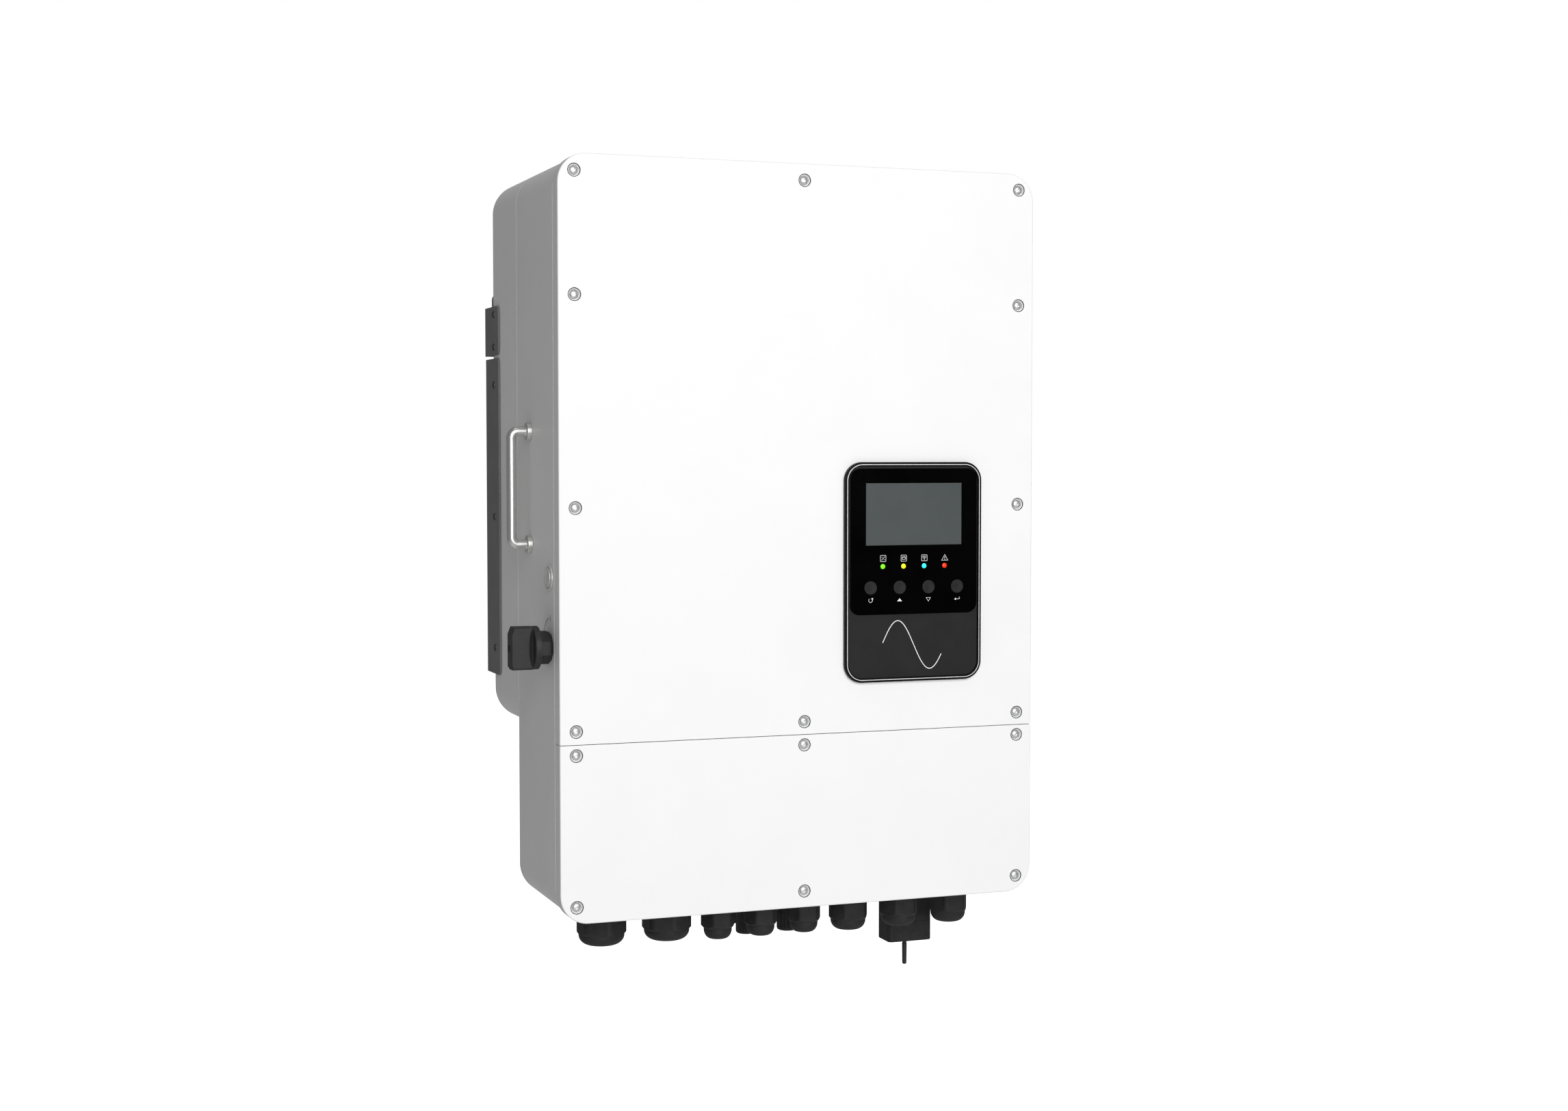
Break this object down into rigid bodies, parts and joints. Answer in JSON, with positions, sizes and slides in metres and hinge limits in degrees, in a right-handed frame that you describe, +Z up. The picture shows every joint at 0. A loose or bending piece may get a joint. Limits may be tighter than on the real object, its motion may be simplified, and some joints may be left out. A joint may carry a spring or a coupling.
{
  "type": "string inverter",
  "caption": "Wall-hung hybrid string inverter with screwed front covers, display and keys, side handles, isolator knob and a row of cable glands underneath, hooked on a wall bracket.",
  "frame": {"origin": "middle of the wall bracket's back face, where it lies on the wall", "axes": "+Y into the wall, so the inverter faces -Y; +Z up; +X to the right seen from the front"},
  "size_m": [0.484, 0.265, 0.714],
  "materials": {
    "white_powder_coat": "fine-textured white powder coat on steel sheet",
    "dark_powder_coat": "dark grey powder coat on steel sheet",
    "grey_silicone": "matt",
    "bare_aluminium": "extruded, unpolished",
    "stainless_steel": "satin",
    "black_nylon": "fine moulded texture",
    "light_plastic": "satin",
    "black_gloss_plastic": "polished",
    "dark_matte_plastic": "fine moulded texture",
    "black_glass": "printed black from behind",
    "lcd_panel": "switched off",
    "circuit_board": "solder mask",
    "capacitor_sleeve": "shrink sleeve",
    "terminal_plastic": "moulded",
    "lamp_green": "lit",
    "lamp_yellow": "lit",
    "lamp_cyan": "lit",
    "lamp_red": "lit"
  },
  "bodies": {
    "wall_bracket": {"wall_bracket": "dark_powder_coat"},
    "inverter": {"front_cover_upper": "white_powder_coat", "front_cover_lower": "white_powder_coat", "gasket_upper": "grey_silicone", "gasket_lower": "grey_silicone", "main_body": "white_powder_coat", "rear_housing": "white_powder_coat", "heat_sink": "bare_aluminium", "inductor_block": "bare_aluminium", "fan_frame_left": "black_nylon", "fan_frame_right": "black_nylon", "rear_shroud": "dark_powder_coat", "hanger_bracket": "dark_powder_coat", "handle_left": "stainless_steel", "handle_right": "stainless_steel", "power_button_bezel": "stainless_steel", "dc_switch_base": "black_nylon", "display_bezel": "black_gloss_plastic", "display_face_plate": "dark_matte_plastic", "display_glass": "black_glass", "lcd_module": "lcd_panel", "display_board": "circuit_board", "status_lamp_1": "lamp_green", "status_lamp_2": "lamp_yellow", "status_lamp_3": "lamp_cyan", "status_lamp_4": "lamp_red", "gland_battery_positive": "black_nylon", "gland_nut_battery_positive": "black_nylon", "gland_battery_negative": "black_nylon", "gland_nut_battery_negative": "black_nylon", "gland_meter": "black_nylon", "gland_nut_meter": "black_nylon", "gland_can": "black_nylon", "gland_nut_can": "black_nylon", "gland_parallel": "black_nylon", "gland_nut_parallel": "black_nylon", "gland_grid": "black_nylon", "gland_nut_grid": "black_nylon", "gland_backup": "black_nylon", "gland_nut_backup": "black_nylon", "gland_generator": "black_nylon", "gland_nut_generator": "black_nylon", "solar_connector_1a": "black_nylon", "solar_connector_1b": "black_nylon", "solar_connector_2a": "black_nylon", "solar_connector_2b": "black_nylon", "datalogger_housing": "black_nylon", "datalogger_antenna": "black_nylon", "power_board": "circuit_board", "control_board": "circuit_board", "capacitor_bank": "capacitor_sleeve", "terminal_block": "terminal_plastic"},
    "dc_switch_knob": {"dc_switch_knob": "black_nylon"},
    "power_button_cap": {"power_button_cap": "light_plastic"},
    "key_1": {"key_1": "dark_matte_plastic"},
    "key_2": {"key_2": "dark_matte_plastic"},
    "key_3": {"key_3": "dark_matte_plastic"},
    "key_4": {"key_4": "dark_matte_plastic"},
    "fan_rotor_left": {"fan_rotor_left": "black_nylon"},
    "fan_rotor_right": {"fan_rotor_right": "black_nylon"}
  },
  "joints": [
    {"name": "lift_off", "type": "slide", "parent": "wall_bracket", "child": "inverter", "axis": [0, 0, 1], "range_m": [0, 0.014]},
    {"name": "dc_switch_turn", "type": "hinge", "parent": "inverter", "child": "dc_switch_knob", "pos_m": [-0.235, -0.2306, -0.2767], "axis": [1, 0, 0], "range_deg": [0, 90]},
    {"name": "power_button_press", "type": "slide", "parent": "inverter", "child": "power_button_cap", "axis": [1, 0, 0], "range_m": [0, 0.002], "stiffness_N_per_m": 300, "springref_m": -0.002},
    {"name": "key_1_press", "type": "slide", "parent": "inverter", "child": "key_1", "axis": [0, 1, 0], "range_m": [0, 0.0006], "stiffness_N_per_m": 400, "springref_m": -0.0005},
    {"name": "key_2_press", "type": "slide", "parent": "inverter", "child": "key_2", "axis": [0, 1, 0], "range_m": [0, 0.0006], "stiffness_N_per_m": 400, "springref_m": -0.0005},
    {"name": "key_3_press", "type": "slide", "parent": "inverter", "child": "key_3", "axis": [0, 1, 0], "range_m": [0, 0.0006], "stiffness_N_per_m": 400, "springref_m": -0.0005},
    {"name": "key_4_press", "type": "slide", "parent": "inverter", "child": "key_4", "axis": [0, 1, 0], "range_m": [0, 0.0006], "stiffness_N_per_m": 400, "springref_m": -0.0005},
    {"name": "fan_left_spin", "type": "hinge", "parent": "inverter", "child": "fan_rotor_left", "pos_m": [-0.09, -0.0716, -0.345], "axis": [0, 0, 1], "continuous": true},
    {"name": "fan_right_spin", "type": "hinge", "parent": "inverter", "child": "fan_rotor_right", "pos_m": [0.09, -0.0716, -0.345], "axis": [0, 0, 1], "continuous": true}
  ]
}
